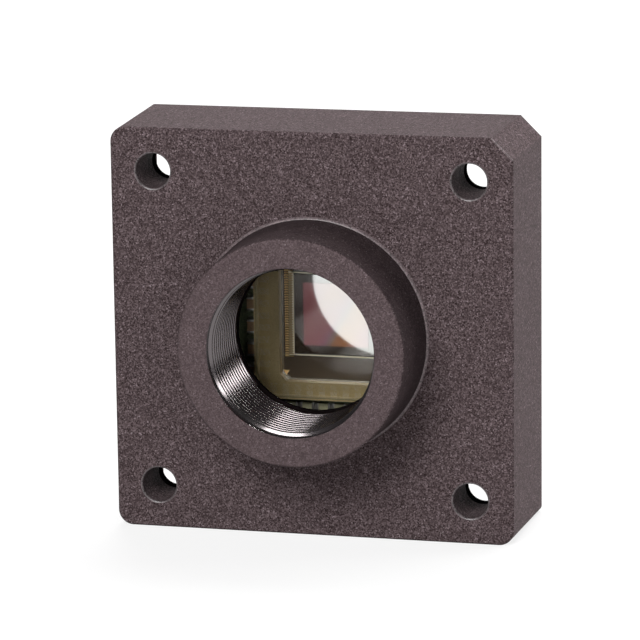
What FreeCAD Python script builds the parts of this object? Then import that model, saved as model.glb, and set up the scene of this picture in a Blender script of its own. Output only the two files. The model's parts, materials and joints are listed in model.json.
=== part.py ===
import FreeCAD, Part
import math
import os

# Board-level machine vision camera with a threaded lens nose, no lens fitted.
# Frame: +X to the right seen from the front, +Y into the camera, +Z up, millimetres.
# The optical axis is the Y axis, and Y = 0 is the flat front face of the housing.

# ---- housing: one casting with the lens nose on it ----
housing_width = 29.0
housing_height = 29.0
housing_depth = 9.9
corner_round = 1.1          # three edges along Y, at the front face
corner_round_rear = 0.4     # the same edges at the open back
corner_chamfer = 1.5        # the fourth edge, at the top on the +X side
edge_break = 0.12           # front rim and hole rims
front_wall = 1.4            # thickness behind the front face
side_wall = 0.5             # round the board, behind the corner pillars
rear_rim_chamfer = 0.25     # inner edge of the open back

# ---- lens nose: M12 x 0.5 internal thread, drawn at its major diameter ----
nose_length = 5.95
nose_radius = 8.1           # at the tip
nose_draft = 0.25           # how much wider the nose is at its root
nose_tip_chamfer = 0.16
nose_root_chamfer = 0.17
thread_radius = 6.0
thread_mouth_chamfer = 0.05
thread_stop_radius = 5.68   # lip at the inner end, which stops a lens barrel
thread_stop_length = 0.3

# ---- mounting holes for M2 screws, one in each corner pillar ----
hole_inset = 3.1            # hole axis to the sides of the housing
hole_radius = 1.25
pillar_depth = 5.0          # from the front face to the screw head seats

# ---- hollow of the housing ----
chamber_wall = 2.7          # beside the light-tight space behind the front wall
pillar_wall = 1.45          # material between a mounting hole and the chamber

# ---- board and the screws that hold it ----
board_clearance = 0.5       # board edges to the side walls
board_thickness = 1.6
board_recess = 0.3          # board back below the rim of the housing
notch_radius = 3.2          # board corners cut away behind the mounting holes
screw_radius = 0.8
screw_length = 4.0
screw_head_radius = 1.5
screw_head_height = 1.2
screw_socket_across = 1.2
screw_socket_depth = 0.7
screw_head_margin = 0.15    # from the head to the edge of the board
screw_notch_gap = 0.2       # from the head to the cut-away corner of the board
screw_hole_clearance = 0.1
thread_clearance = 0.03
boss_wall = 0.95
tapped_depth = 3.2

# ---- image sensor ----
package_width = 12.0
package_height = 12.5
package_thickness = 1.4
package_floor = 0.6         # ceramic below the die
package_corner = 0.3
ledge_width = 8.2           # upper cavity, with the bond ledge as its floor
ledge_height = 9.9
ledge_corner = 0.55
ledge_rise = 0.2            # ledge above the die pocket floor
die_width = 6.6
die_height = 5.8
die_thickness = 0.3
die_clearance = 0.2
bond_pitch = 0.18
bond_row_length = 6.3
bond_wire_width = 0.05
bond_loop = 0.14            # height of a wire over the die
bond_foot_inset = 0.1       # wire foot from the die edge
bond_finger_offset = 0.4    # wire end on the ledge, out from the die edge
glass_width = 11.4
glass_height = 11.9
glass_thickness = 0.5
solder_gap = 0.1
land_width = 0.5
land_length = 0.8
land_pitch = 0.9
lands_per_side = 12

# ---- chip capacitors and resistors: length, width, height ----
chip_length = 1.0
chip_width = 0.5
chip_height = 0.5
chip_end = 0.25             # length of one end cap
chip_end_step = 0.02        # end cap proud of the body
resistor_height = 0.35
capacitor_offset = 0.52      # centre line of a row, out from the sensor package
capacitor_pitch = 1.68
capacitor_shift = -0.39     # the rows stand a little low beside the sensor
capacitors_per_row = 6
resistor_offset = 0.75
resistor_pitch = 1.2
resistors_per_row = 7

# ---- SuperSpeed Micro-B receptacle, standing straight out of the back ----
usb_edge_gap = 8.1          # board edge to the middle of the receptacle
usb_length = 4.35
usb_wall = 0.25
usb_lobe_width = 6.9
usb_side_lobe_width = 3.4
usb_neck_width = 0.95
usb_neck_height = 0.9
usb_opening_height = 1.85
usb_key_chamfer = 0.6
usb_base_height = 0.9       # insulator that closes the board end
usb_tongue_width = 5.0
usb_side_tongue_width = 2.3
usb_tongue_thickness = 0.6
usb_tongue_recess = 0.7     # tongue tip below the shell rim
usb_fit_clearance = 0.03
usb_contact_count = 5
usb_contact_pitch = 0.65
usb_side_contact_pitch = 0.4
usb_contact_width = 0.2
usb_contact_thickness = 0.1
usb_foot_length = 0.6
usb_foot_width = 1.4

# ---- input/output connector, six pins at 1 mm ----
io_edge_gap = 0.85          # board edge to the connector body
io_pin_count = 6
io_pin_pitch = 1.0
io_end_margin = 1.0         # body past the outer pins
io_depth = 2.9
io_height = 4.2
io_wall = 0.45
io_floor = 1.1
io_pin_width = 0.3
io_pin_length = 2.4
io_key_width = 1.6

# ---- integrated circuits on the back: width, height, thickness ----
chip_edge_chamfer = 0.12
pin_one_radius = 0.35
pin_one_depth = 0.08
processor_size = (8.6, 8.6, 1.1)
processor_place = (-5.6, 3.6)
controller_size = (7.4, 7.4, 0.95)
controller_place = (4.1, 4.2)
memory_size = (3.0, 4.0, 0.75)
memory_place = (10.6, 3.4)
oscillator_size = (2.5, 2.0, 0.55)
oscillator_place = (10.4, -1.3)
oscillator_lid_margin = 0.2
oscillator_lid_height = 0.15
regulator_size = (2.6, 2.6, 0.85)
regulator_spacing = 5.2
regulator_edge_gap = 3.4
inductor_size = (2.5, 2.0, 1.2)
inductor_places = ((-9.9, -3.2), (-9.9, -6.2))
inductor_bevel = 0.25
led_size = (1.6, 0.8, 0.3)
led_place = (10.2, -5.6)
led_lens_length = 1.0
led_lens_height = 0.3
rear_chip_gap = 0.5         # small chips, out from the circuit that they serve
rear_chip_pitch = 1.5
rear_resistor_count = 8

# ---- places worked out from the sizes above ----
hole_spacing_x = housing_width - 2 * hole_inset
hole_spacing_z = housing_height - 2 * hole_inset
chamber_width = housing_width - 2 * chamber_wall
chamber_height = housing_height - 2 * chamber_wall
board_width = housing_width - 2 * (side_wall + board_clearance)
board_height = housing_height - 2 * (side_wall + board_clearance)
board_back = housing_depth - board_recess
board_front = board_back - board_thickness
package_back = board_front - solder_gap
package_front = package_back - package_thickness
die_pocket_floor = package_back - package_floor
bond_ledge = die_pocket_floor - ledge_rise
die_front = die_pocket_floor - die_thickness
glass_front = package_front - glass_thickness
screw_x = hole_spacing_x / 2 - notch_radius - screw_head_radius - screw_notch_gap
screw_z = board_height / 2 - screw_head_radius - screw_head_margin
io_z = board_height / 2 - io_edge_gap - io_depth / 2
usb_z = usb_edge_gap - board_height / 2
regulator_z = regulator_edge_gap + regulator_size[1] / 2 - board_height / 2
regulator_places = ((-regulator_spacing / 2, regulator_z), (regulator_spacing / 2, regulator_z))
reach = 1.0                 # how far cutting tools run past a face


def vec(x, y, z):
    return FreeCAD.Vector(x, y, z)


def block(width, height, y_low, y_high, x=0.0, z=0.0):
    """A box centred on (x, z), between two Y planes."""
    corner = vec(x - width / 2, y_low, z - height / 2)
    return Part.makeBox(width, y_high - y_low, height, corner)


def rod(radius, y_low, y_high, x=0.0, z=0.0):
    """A cylinder along Y between two Y planes."""
    return Part.makeCylinder(radius, y_high - y_low, vec(x, y_low, z), vec(0, 1, 0))


def prism(wire, y_low, y_high):
    """A closed wire drawn in the plane Y = 0, run from one Y plane to another."""
    face = Part.Face(wire)
    face.translate(vec(0, y_low, 0))
    return face.extrude(vec(0, y_high - y_low, 0))


def polygon(points):
    """A closed wire through (x, z) points in the plane Y = 0."""
    corners = [vec(x, 0, z) for x, z in points]
    return Part.makePolygon(corners + corners[:1])


def cut_corner_outline(width, height, cut):
    """A rectangle with its four corners cut off at 45 degrees."""
    half_w = width / 2
    half_h = height / 2
    return polygon([
        (-half_w + cut, -half_h), (half_w - cut, -half_h),
        (half_w, -half_h + cut), (half_w, half_h - cut),
        (half_w - cut, half_h), (-half_w + cut, half_h),
        (-half_w, half_h - cut), (-half_w, -half_h + cut),
    ])


def revolve_about_axis(points):
    """A solid of revolution about Y from (radius, y) corners."""
    corners = [vec(radius, y, 0) for radius, y in points]
    face = Part.Face(Part.makePolygon(corners + corners[:1]))
    return face.revolve(vec(0, 0, 0), vec(0, 1, 0), 360)


def quarter_places(x, z):
    """The four mirror images of one place."""
    return [(side_x * x, side_z * z) for side_x in (-1, 1) for side_z in (-1, 1)]


def export(name, shape):
    """One STEP file for one sub-part."""
    shape.exportStep("parts/" + name + ".step")


mount_places = quarter_places(hole_spacing_x / 2, hole_spacing_z / 2)
screw_places = quarter_places(screw_x, screw_z)


def square_body(inset, y_low, y_high):
    """The housing's square block, or one inside it, with its one chamfered edge."""
    width = housing_width - 2 * inset
    height = housing_height - 2 * inset
    body = block(width, height, y_low, y_high)
    chamfered = [edge for edge in edges_along_y(body) if corner_of(edge) == (1, 1)]
    return body.makeChamfer(corner_chamfer - inset * (2 - math.sqrt(2)), chamfered)


def edges_along_y(body):
    """The straight edges that run from front to back."""
    return [edge for edge in body.Edges if abs(edge.tangentAt(edge.FirstParameter).y) > 0.9]


def corner_of(edge):
    """The signs of X and Z of an edge along Y."""
    middle = edge.CenterOfMass
    return int(math.copysign(1, middle.x)), int(math.copysign(1, middle.z))


def round_edges(body):
    """The three edges along Y that are rounded."""
    return [edge for edge in edges_along_y(body) if corner_of(edge) != (1, 1)]


def corner_tool(side_x, side_z):
    """What an edge's tapered round leaves off: a cone that narrows towards the back."""
    sections = []
    for y, radius in ((0, corner_round), (housing_depth, corner_round_rear)):
        half_w, half_h = housing_width / 2, housing_height / 2
        places = [
            (half_w, half_h - radius), (half_w + 1, half_h - radius), (half_w + 1, half_h + 1),
            (half_w - radius, half_h + 1), (half_w - radius, half_h),
        ]
        corners = [vec(side_x * x, y, side_z * z) for x, z in places]
        bulge = radius * (1 - math.sqrt(0.5))
        crown = vec(side_x * (half_w - bulge), y, side_z * (half_h - bulge))
        edges = [Part.LineSegment(a, b).toShape() for a, b in zip(corners, corners[1:])]
        edges.append(Part.Arc(corners[-1], crown, corners[0]).toShape())
        sections.append(Part.Wire(edges))
    return Part.makeLoft(sections, True, True)


def lens_nose():
    """The nose without its bore: drafted, its tip edge broken, with a small bevel at its root."""
    tip = -nose_length
    root_radius = nose_radius + nose_draft
    foot = root_radius + nose_root_chamfer
    return revolve_about_axis([
        (0, front_wall / 2),
        (0, tip),
        (nose_radius - nose_tip_chamfer, tip),
        (nose_radius, tip + nose_tip_chamfer),
        (root_radius, -nose_root_chamfer),
        (foot, 0),
        (foot, front_wall / 2),
    ])


def housing_shell():
    """The outer form: square body, its edges rounded less towards the back, and the nose."""
    body = square_body(0, 0, housing_depth)
    for side_x, side_z in ((-1, -1), (-1, 1), (1, -1)):
        body = body.cut(corner_tool(side_x, side_z))
    front_edges = [edge for edge in body.Edges if edge.BoundBox.YMax < edge_break]
    return body.makeChamfer(edge_break, front_edges).fuse(lens_nose())


def lens_bore():
    """The tool for the threaded bore, with its broken mouth and the lip at its inner end."""
    mouth = -nose_length
    stop = front_wall - thread_stop_length
    return revolve_about_axis([
        (0, mouth - reach),
        (thread_radius + thread_mouth_chamfer, mouth - reach),
        (thread_radius + thread_mouth_chamfer, mouth),
        (thread_radius, mouth + thread_mouth_chamfer),
        (thread_radius, stop),
        (thread_stop_radius, stop),
        (thread_stop_radius, front_wall + reach),
        (0, front_wall + reach),
    ])


def chamber():
    """The tool for the space behind the front wall, cut off at the corner pillars."""
    pillar_reach = math.sqrt(2) * (hole_radius + pillar_wall)
    diagonal = (hole_spacing_x + hole_spacing_z) / 2 - pillar_reach
    cut = (chamber_width + chamber_height) / 2 - diagonal
    return prism(cut_corner_outline(chamber_width, chamber_height, cut), front_wall, housing_depth)


def board_pocket():
    """The tool for the board pocket, which runs over the pillars to the open back."""
    pocket = square_body(side_wall, pillar_depth, housing_depth + reach)
    return pocket.makeFillet(corner_round - side_wall, round_edges(pocket))


def rear_rim(body):
    """The inner edges of the open back."""
    half_w = (housing_width - side_wall) / 2
    half_h = (housing_height - side_wall) / 2
    rim = []
    for edge in body.Edges:
        box = edge.BoundBox
        inside = max(box.XMax, -box.XMin) < half_w and max(box.ZMax, -box.ZMin) < half_h
        if inside and box.YMin > housing_depth - edge_break:
            rim.append(edge)
    return rim


def mounting_hole(x, z):
    """The tool for one mounting hole, with its broken front edge."""
    shank = rod(hole_radius, -reach, pillar_depth + reach, x, z)
    rim = Part.makeCone(
        hole_radius + edge_break, hole_radius, edge_break, vec(x, 0, z), vec(0, 1, 0)
    )
    return shank.fuse(rim)


def board_boss(x, z):
    """A post for one board screw, run into the nearest wall of the housing."""
    boss_radius = screw_radius + boss_wall
    post = rod(boss_radius, front_wall / 2, board_front, x, z)
    wall_z = math.copysign((housing_height - side_wall) / 2, z)
    web = block(2 * boss_radius, abs(wall_z - z), front_wall / 2, board_front, x, (z + wall_z) / 2)
    bore = rod(screw_radius + thread_clearance, board_front - tapped_depth, board_front, x, z)
    return post.fuse(web), bore


def front_housing():
    """Body, nose, bore, hollow, corner pillars and board bosses in one piece."""
    body = housing_shell().cut(chamber()).cut(board_pocket())
    body = body.makeChamfer(rear_rim_chamfer, rear_rim(body))
    bores = [lens_bore()] + [mounting_hole(x, z) for x, z in mount_places]
    for x, z in screw_places:
        boss, bore = board_boss(x, z)
        body = body.fuse(boss)
        bores.append(bore)
    for bore in bores:
        body = body.cut(bore)
    return body.removeSplitter()


def sensor_board():
    """The printed board, cut away at its corners and drilled for its screws."""
    board = block(board_width, board_height, board_front, board_back)
    low = board_front - reach
    high = board_back + reach
    for x, z in mount_places:
        corner = block(hole_spacing_x, hole_spacing_z, low, high, 2 * x, 2 * z)
        round_notch = rod(notch_radius, low, high, x, z)
        board = board.cut(corner.fuse(round_notch))
    for x, z in screw_places:
        board = board.cut(rod(screw_radius + screw_hole_clearance, low, high, x, z))
    return board


def board_screws():
    """Four socket head screws through the board into the housing bosses."""
    screws = []
    for x, z in screw_places:
        head_top = board_back + screw_head_height
        shank = rod(screw_radius, board_back - screw_length, board_back, x, z)
        head = rod(screw_head_radius, board_back, head_top, x, z)
        corners = [math.radians(60 * step) for step in range(6)]
        corner_radius = screw_socket_across / math.sqrt(3)
        socket = prism(
            polygon([
                (x + corner_radius * math.cos(angle), z + corner_radius * math.sin(angle))
                for angle in corners
            ]),
            head_top - screw_socket_depth,
            head_top + reach,
        )
        screws.append(shank.fuse(head).cut(socket).removeSplitter())
    return Part.makeCompound(screws)


def sensor_package():
    """Ceramic carrier with a stepped cavity: bond ledge first, die pocket below it."""
    body = prism(
        cut_corner_outline(package_width, package_height, package_corner),
        package_front,
        package_back,
    )
    cavity = prism(
        cut_corner_outline(ledge_width, ledge_height, ledge_corner), package_front - reach, bond_ledge
    )
    pocket = block(
        die_width + 2 * die_clearance,
        die_height + 2 * die_clearance,
        bond_ledge - reach,
        die_pocket_floor,
    )
    return body.cut(cavity).cut(pocket)


def sensor_lands():
    """Solder joints in one row along each side of the package."""
    lands = []
    offset = (package_width - land_length) / 2
    offset_z = (package_height - land_length) / 2
    for index in range(lands_per_side):
        along = (index - (lands_per_side - 1) / 2) * land_pitch
        for side in (-1, 1):
            lands.append(
                block(land_length, land_width, package_back, board_front, side * offset, along)
            )
            lands.append(
                block(land_width, land_length, package_back, board_front, along, side * offset_z)
            )
    return Part.makeCompound(lands)


def bond_wire(side, z):
    """One gold wire, looped from the die face to the bond ledge."""
    die_edge = die_width / 2
    foot = die_edge - bond_foot_inset
    finger = die_edge + bond_finger_offset
    crown = die_front - bond_loop
    under = crown + bond_wire_width
    outline = [
        (foot, die_front),
        (foot + bond_wire_width, under),
        (finger, bond_ledge),
        (finger + bond_wire_width, bond_ledge),
        (finger, crown),
        (foot, crown),
        (foot - bond_wire_width, die_front),
    ]
    corners = [vec(side * x, y, z - bond_wire_width / 2) for x, y in outline]
    face = Part.Face(Part.makePolygon(corners + corners[:1]))
    return face.extrude(vec(0, 0, bond_wire_width))


def bond_wires():
    """A row of wires along each long side of the die."""
    count = int(round(bond_row_length / bond_pitch)) + 1
    heights = [(index - (count - 1) / 2) * bond_pitch for index in range(count)]
    return Part.makeCompound([bond_wire(side, z) for side in (-1, 1) for z in heights])


def chip_part(x, z, upright, face_y, outward, height):
    """A chip capacitor or resistor lying on a board face, with its two end caps.

    upright turns its length along Z; outward is -1 on the front and +1 on the back.
    """
    length = chip_length - 2 * chip_end_step
    span = (length, chip_width) if not upright else (chip_width, length)
    low, high = sorted((face_y, face_y + outward * (height - chip_end_step)))
    body = block(span[0], span[1], low, high, x, z)
    low, high = sorted((face_y, face_y + outward * height))
    for side in (-1, 1):
        shift = side * (chip_length - chip_end) / 2
        wide = chip_width + 2 * chip_end_step
        if upright:
            body = body.fuse(block(wide, chip_end, low, high, x, z + shift))
        else:
            body = body.fuse(block(chip_end, wide, low, high, x + shift, z))
    return body.removeSplitter()


def two_rows(count, pitch):
    """Places in a row on each side of the sensor: (along the row, which side)."""
    return [
        ((index - (count - 1) / 2) * pitch, side) for index in range(count) for side in (-1, 1)
    ]


def sensor_side_capacitors():
    """Decoupling capacitors, upright, left and right of the sensor."""
    offset = package_width / 2 + capacitor_offset
    parts = [
        chip_part(side * offset, along + capacitor_shift, True, board_front, -1, chip_height)
        for along, side in two_rows(capacitors_per_row, capacitor_pitch)
    ]
    return Part.makeCompound(parts)


def sensor_side_resistors():
    """Resistors lying along the top and bottom of the sensor."""
    offset = package_height / 2 + resistor_offset
    parts = [
        chip_part(along, side * offset, False, board_front, -1, resistor_height)
        for along, side in two_rows(resistors_per_row, resistor_pitch)
    ]
    return Part.makeCompound(parts)


def usb_lobes():
    """X limits of the main lobe and the side lobe, centred together."""
    total = usb_lobe_width + usb_neck_width + usb_side_lobe_width
    main_low = -total / 2
    main_high = main_low + usb_lobe_width
    side_low = main_high + usb_neck_width
    return main_low, main_high, side_low, side_low + usb_side_lobe_width


def usb_opening_outline(shrink):
    """Two keyed lobes joined by a neck, smaller all round by shrink."""
    main_low, main_high, side_low, side_high = usb_lobes()
    main_low += shrink
    main_high -= shrink
    side_low += shrink
    side_high -= shrink
    top = usb_z + usb_opening_height / 2 - shrink
    bottom = usb_z - usb_opening_height / 2 + shrink
    neck_top = bottom + usb_neck_height - shrink
    key = usb_key_chamfer
    return polygon([
        (main_low + key, bottom), (side_high - key, bottom),
        (side_high, bottom + key), (side_high, top),
        (side_low, top), (side_low, neck_top),
        (main_high, neck_top), (main_high, top),
        (main_low, top), (main_low, bottom + key),
    ])


def usb_receptacle_shell():
    """Drawn steel shell round both lobes, with a solder foot at each end."""
    rim = board_back + usb_length
    inner = usb_opening_outline(0)
    outer = inner.makeOffset2D(usb_wall)
    shell = prism(outer, board_back, rim).cut(prism(inner, board_back - reach, rim + reach))
    end_x = usb_lobes()[3] + usb_wall
    for side in (-1, 1):
        shell = shell.fuse(
            block(
                usb_foot_length + usb_wall, usb_foot_width, board_back, board_back + usb_wall,
                side * (end_x + (usb_foot_length - usb_wall) / 2), usb_z,
            )
        )
    shell = shell.cut(prism(inner, board_back - reach, rim + reach))
    return shell.removeSplitter()


def usb_tongues():
    """Centre, width and contact pitch of the two tongues."""
    main_low, main_high, side_low, side_high = usb_lobes()
    return (
        ((main_low + main_high) / 2, usb_tongue_width, usb_contact_pitch),
        ((side_low + side_high) / 2, usb_side_tongue_width, usb_side_contact_pitch),
    )


def usb_insulator():
    """Moulded base in the board end of the shell, with a tongue in each lobe."""
    base_top = board_back + usb_base_height
    tip = board_back + usb_length - usb_tongue_recess
    body = prism(usb_opening_outline(usb_fit_clearance), board_back, base_top)
    for centre, width, _ in usb_tongues():
        body = body.fuse(block(width, usb_tongue_thickness, board_back, tip, centre, usb_z))
    return body.removeSplitter()


def usb_contacts():
    """Flat contacts on the upper face of both tongues."""
    base_top = board_back + usb_base_height
    tip = board_back + usb_length - usb_tongue_recess
    face_z = usb_z + usb_tongue_thickness / 2
    contacts = []
    for centre, _, pitch in usb_tongues():
        for index in range(usb_contact_count):
            x = centre + (index - (usb_contact_count - 1) / 2) * pitch
            contacts.append(
                block(
                    usb_contact_width, usb_contact_thickness, base_top, tip - usb_contact_width,
                    x, face_z + usb_contact_thickness / 2,
                )
            )
    return Part.makeCompound(contacts)


def io_body_width():
    return (io_pin_count - 1) * io_pin_pitch + 2 * io_end_margin


def io_connector_body():
    """Open-topped wafer with a keyed slot in its lower wall."""
    top = board_back + io_height
    floor = board_back + io_floor
    body = block(io_body_width(), io_depth, board_back, top, 0, io_z)
    cavity = block(
        io_body_width() - 2 * io_wall, io_depth - 2 * io_wall, floor, top + reach, 0, io_z
    )
    key = block(io_key_width, io_depth / 2, floor + io_wall, top + reach, 0, io_z - io_depth / 2)
    body = body.cut(cavity).cut(key)
    for x, z in io_pin_places():
        body = body.cut(block(io_pin_width, io_pin_width, board_back, floor, x, z))
    return body


def io_pin_places():
    first = -(io_pin_count - 1) / 2 * io_pin_pitch
    return [(first + index * io_pin_pitch, io_z) for index in range(io_pin_count)]


def io_connector_pins():
    """Square pins from the board through the floor of the wafer."""
    tip = board_back + io_floor + io_pin_length
    pins = [block(io_pin_width, io_pin_width, board_back, tip, x, z) for x, z in io_pin_places()]
    return Part.makeCompound(pins)


def integrated_circuit(size, place):
    """A moulded chip on the back of the board, bevelled, with its pin one dimple."""
    width, height, thickness = size
    x, z = place
    top = board_back + thickness
    body = block(width, height, board_back, top, x, z)
    rim = [edge for edge in body.Edges if edge.BoundBox.YMin > top - thickness / 2]
    body = body.makeChamfer(chip_edge_chamfer, rim)
    inset = 2 * pin_one_radius + chip_edge_chamfer
    dimple = rod(
        pin_one_radius, top - pin_one_depth, top + reach,
        x - width / 2 + inset, z + height / 2 - inset,
    )
    return body.cut(dimple)


def clock_oscillator():
    """Ceramic base with a metal lid set in from its edge."""
    width, height, thickness = oscillator_size
    x, z = oscillator_place
    top = board_back + thickness
    base = block(width, height, board_back, top, x, z)
    lid = block(
        width - 2 * oscillator_lid_margin, height - 2 * oscillator_lid_margin,
        top, top + oscillator_lid_height, x, z,
    )
    return base.fuse(lid)


def power_inductors():
    """Moulded inductors, bevelled on every edge off the board."""
    width, height, thickness = inductor_size
    parts = []
    for x, z in inductor_places:
        body = block(width, height, board_back, board_back + thickness, x, z)
        loose = [edge for edge in body.Edges if edge.BoundBox.YMax > board_back + inductor_bevel]
        parts.append(body.makeChamfer(inductor_bevel, loose))
    return Part.makeCompound(parts)


def voltage_regulators():
    return Part.makeCompound([integrated_circuit(regulator_size, place) for place in regulator_places])


def status_led():
    """Two-pad base with a clear moulded lens block."""
    width, height, thickness = led_size
    x, z = led_place
    top = board_back + thickness
    base = block(width, height, board_back, top, x, z)
    return base.fuse(block(led_lens_length, height, top, top + led_lens_height, x, z))


def chips_round(size, place, gap, count, pitch, sides):
    """Chip parts in rows beside an integrated circuit, on the named X sides."""
    width = size[0]
    x, z = place
    offset = width / 2 + gap + chip_width / 2
    rows = []
    for side in sides:
        for index in range(count):
            along = z + (index - (count - 1) / 2) * pitch
            rows.append(chip_part(x + side * offset, along, True, board_back, 1, chip_height))
    return rows


def rear_capacitors():
    """Decoupling capacitors beside the processor, the controller and the regulators."""
    parts = chips_round(processor_size, processor_place, rear_chip_gap, 5, rear_chip_pitch, (-1,))
    parts += chips_round(controller_size, controller_place, rear_chip_gap, 4, rear_chip_pitch, (1,))
    for place in regulator_places:
        parts += chips_round(regulator_size, place, rear_chip_gap, 2, rear_chip_pitch, (-1, 1))
    return Part.makeCompound(parts)


def rear_resistors():
    """Resistors in a row under the processor and the controller."""
    z = processor_place[1] - processor_size[1] / 2 - rear_chip_gap - chip_width / 2
    first = processor_place[0] - processor_size[0] / 2 + chip_length / 2
    parts = []
    for index in range(rear_resistor_count):
        x = first + index * rear_chip_pitch
        parts.append(chip_part(x, z, False, board_back, 1, resistor_height))
    return Part.makeCompound(parts)


def main():
    os.makedirs("parts", exist_ok=True)
    export("front_housing", front_housing())
    export("sensor_board", sensor_board())
    export("board_screws", board_screws())
    export("sensor_package", sensor_package())
    export("sensor_lands", sensor_lands())
    export("sensor_die", block(die_width, die_height, die_front, die_pocket_floor))
    export("bond_wires", bond_wires())
    export("cover_glass", block(glass_width, glass_height, glass_front, package_front))
    export("sensor_side_capacitors", sensor_side_capacitors())
    export("sensor_side_resistors", sensor_side_resistors())
    export("usb_receptacle_shell", usb_receptacle_shell())
    export("usb_insulator", usb_insulator())
    export("usb_contacts", usb_contacts())
    export("io_connector_body", io_connector_body())
    export("io_connector_pins", io_connector_pins())
    export("image_processor", integrated_circuit(processor_size, processor_place))
    export("usb_controller", integrated_circuit(controller_size, controller_place))
    export("flash_memory", integrated_circuit(memory_size, memory_place))
    export("clock_oscillator", clock_oscillator())
    export("power_inductors", power_inductors())
    export("voltage_regulators", voltage_regulators())
    export("status_led", status_led())
    export("rear_capacitors", rear_capacitors())
    export("rear_resistors", rear_resistors())


main()
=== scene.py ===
import json
import math

import bmesh
import bpy
from mathutils import Matrix, Vector


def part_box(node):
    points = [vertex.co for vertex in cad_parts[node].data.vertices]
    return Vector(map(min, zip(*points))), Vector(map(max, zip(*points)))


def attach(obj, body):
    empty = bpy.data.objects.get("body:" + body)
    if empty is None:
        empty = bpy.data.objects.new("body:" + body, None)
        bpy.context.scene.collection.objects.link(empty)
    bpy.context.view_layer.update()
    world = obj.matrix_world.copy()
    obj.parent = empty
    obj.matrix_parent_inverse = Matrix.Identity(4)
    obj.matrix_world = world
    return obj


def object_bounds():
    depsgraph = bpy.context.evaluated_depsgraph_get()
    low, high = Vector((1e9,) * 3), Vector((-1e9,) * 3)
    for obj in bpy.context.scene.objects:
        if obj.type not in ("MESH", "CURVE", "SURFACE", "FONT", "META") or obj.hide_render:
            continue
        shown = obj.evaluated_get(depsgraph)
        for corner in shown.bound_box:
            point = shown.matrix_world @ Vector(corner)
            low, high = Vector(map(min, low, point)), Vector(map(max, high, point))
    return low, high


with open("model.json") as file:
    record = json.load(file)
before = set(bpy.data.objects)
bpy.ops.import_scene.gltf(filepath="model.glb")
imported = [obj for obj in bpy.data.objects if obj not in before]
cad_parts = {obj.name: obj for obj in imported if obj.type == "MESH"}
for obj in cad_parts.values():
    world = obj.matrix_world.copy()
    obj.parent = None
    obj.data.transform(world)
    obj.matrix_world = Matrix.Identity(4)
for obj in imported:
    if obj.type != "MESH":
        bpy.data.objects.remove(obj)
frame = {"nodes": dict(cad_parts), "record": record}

CAD_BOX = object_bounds()
MM = 0.001
NODES = frame["nodes"]
MOUNTS = {mount["name"]: mount for mount in frame["record"]["mounts"]}

# ---- view: the camera stands to the right of the axis and a little above it ----
VIEW_AZIMUTH = math.radians(14.64)
VIEW_ELEVATION = math.radians(12.365)
VIEW_ROLL = math.radians(-0.718)
VIEW_DISTANCE = 283.221 * MM
VIEW_RIGHT = 0.613 * MM         # offsets of the camera in its own plane
VIEW_UP = 1.122 * MM
SENSOR_WIDTH = 36.0             # millimetres, as camera data counts them
FOCAL_LENGTH = 226.58

# ---- turned forms ----
TURN_STEPS = 240                # steps round every ring and every turn of the thread
EDGE_STEPS = 6                  # steps across a rounded bevel
EDGE_LIFT = 0.002 * MM          # how far a rounded bevel stands clear of the flat one
EDGE_DEPTH = 0.03 * MM          # how far it reaches into the housing

# ---- lens thread, M12 x 0.5 ----
THREAD_PITCH = 0.5 * MM
THREAD_CREST = 5.73 * MM        # radius at the top of the ridge
THREAD_MOUTH = 0.42 * MM        # plain bore before the ridge begins
THREAD_START = math.radians(-50)
THREAD_FADE = 1.4               # the ridge has its full height after 1 / 1.4 of a turn
THREAD_RELIEF = 0.20 * MM       # from the middle of the last ridge to the lip
THREAD_SINK = 0.01 * MM         # how far thread pieces reach into the housing
LIP_RADIUS = 5.65 * MM
LIP_FRONT = 0.06 * MM           # the lip's reach in front of the bore's end
LIP_LENGTH = 0.30 * MM          # and behind it

# ---- mounting holes, as their mount states them ----
HOLE_DIMS = MOUNTS["mounting_holes"]["dims"]
HOLE_RADIUS = HOLE_DIMS["hole_r_mm"] * MM
HOLE_PLACES = [(x * HOLE_DIMS["spacing_x_mm"] / 2 * MM, z * HOLE_DIMS["spacing_y_mm"] / 2 * MM)
               for x in (-1, 1) for z in (-1, 1)]
HOLE_BREAK = 0.12 * MM          # the bevel at the mouth
SHADE_RING_START = 4.05 * MM        # the rear part of the hole, in painted shade
SHADE_RING_END = 4.98 * MM
SHADE_RING_SLOPE = 0.03 * MM

# ---- outer edges of the housing ----
CORNER_CHAMFER = 1.5 * MM
CORNER_BEAD = 0.07 * MM         # radius of the chamfered corner's front edge
CORNER_BEAD_DEPTH = 0.075 * MM
NOSE_TIP = -5.95 * MM
NOSE_TIP_RADIUS = 8.10 * MM
NOSE_TIP_BREAK = 0.16 * MM
NOSE_FOOT_RADIUS = 8.52 * MM
NOSE_FOOT_BREAK = 0.17 * MM

# ---- where the coat's colour changes, and where shade is painted on it, as places along Y: (begins, ends) ----
TIP_FACE_FADE = (-5.92 * MM, -5.84 * MM)
NOSE_SHADE_START = (-5.90 * MM, -5.80 * MM)
NOSE_SHADE_END = (-0.22 * MM, -0.12 * MM)
SHADE_ZONE_START = (3.9 * MM, 4.2 * MM)
SHADE_ZONE_END = 5.02 * MM
SHADE_ZONE_REACH = 13.0 * MM          # half the width of the zone of painted shade
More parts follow.
